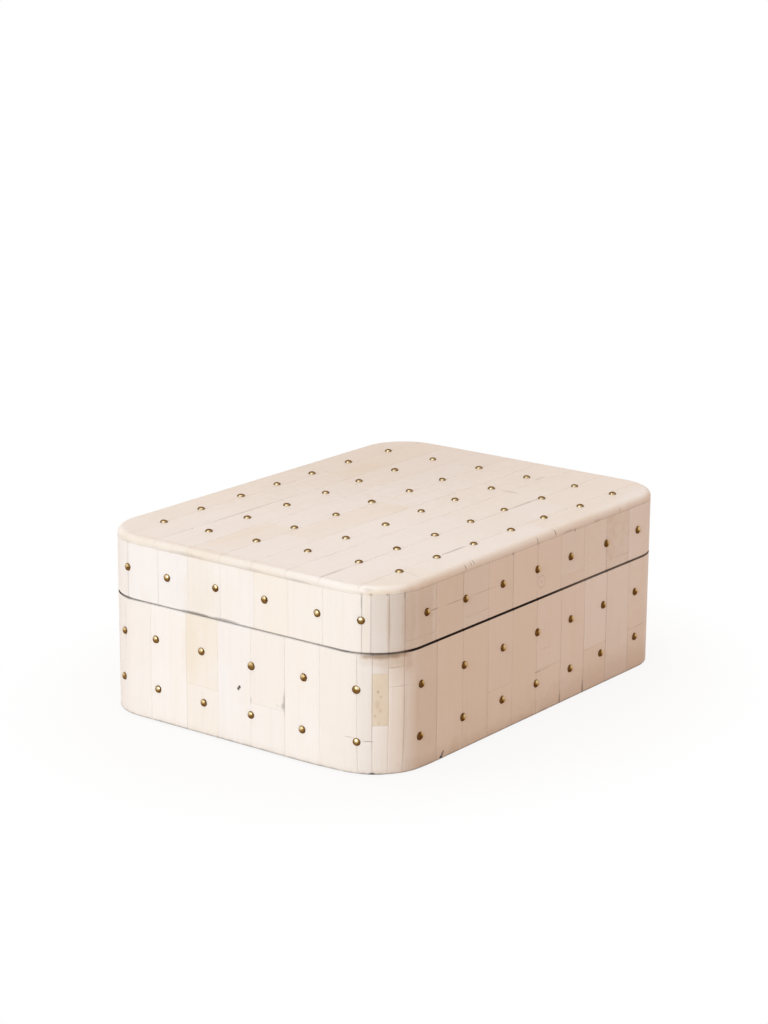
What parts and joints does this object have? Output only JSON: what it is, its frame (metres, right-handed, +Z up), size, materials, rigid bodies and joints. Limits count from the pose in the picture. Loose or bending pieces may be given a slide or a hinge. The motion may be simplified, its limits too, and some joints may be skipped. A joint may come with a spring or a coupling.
{
  "type": "studded box",
  "caption": "Rectangular keepsake box with rounded corners, faced in strips of bone set with small domed brass studs, with a hinged lid.",
  "frame": {"origin": "middle of the box's underside, on the felt that it stands on", "axes": "+X along the box's length, to the right of someone facing its front; -Y out of the front long face; +Z up through the lid"},
  "size_m": [0.202, 0.1488, 0.0767],
  "materials": {
    "bone": "polished warm white bone strips, satin",
    "stained_wood": "dark stained hardwood, satin",
    "felt": "black wool felt",
    "brass": "aged brass, lightly polished"
  },
  "bodies": {
    "base": {"base_underside_felt": "felt", "base_floor_board": "stained_wood", "base_floor_felt": "felt", "base_front_wall": "stained_wood", "base_right_wall": "stained_wood", "base_back_wall": "stained_wood", "base_left_wall": "stained_wood", "base_front_bone": "bone", "base_right_bone": "bone", "base_back_bone": "bone", "base_left_bone": "bone", "base_front_right_bone": "bone", "base_back_right_bone": "bone", "base_back_left_bone": "bone", "base_front_left_bone": "bone", "left_hinge_base_leaf": "brass", "left_hinge_pin": "brass", "left_hinge_base_screw_1": "brass", "left_hinge_base_screw_2": "brass", "right_hinge_base_leaf": "brass", "right_hinge_pin": "brass", "right_hinge_base_screw_1": "brass", "right_hinge_base_screw_2": "brass"},
    "lid": {"lid_top_bone": "bone", "lid_top_board": "stained_wood", "lid_front_wall": "stained_wood", "lid_right_wall": "stained_wood", "lid_back_wall": "stained_wood", "lid_left_wall": "stained_wood", "lid_front_bone": "bone", "lid_right_bone": "bone", "lid_back_bone": "bone", "lid_left_bone": "bone", "lid_front_right_bone": "bone", "lid_back_right_bone": "bone", "lid_back_left_bone": "bone", "lid_front_left_bone": "bone", "left_hinge_lid_leaf": "brass", "left_hinge_lid_screw_1": "brass", "left_hinge_lid_screw_2": "brass", "right_hinge_lid_leaf": "brass", "right_hinge_lid_screw_1": "brass", "right_hinge_lid_screw_2": "brass"}
  },
  "joints": [
    {"name": "lid_hinge", "type": "hinge", "parent": "base", "child": "lid", "pos_m": [0, 0.07061, 0.0495], "axis": [-1, 0, 0], "range_deg": [0, 95]}
  ]
}
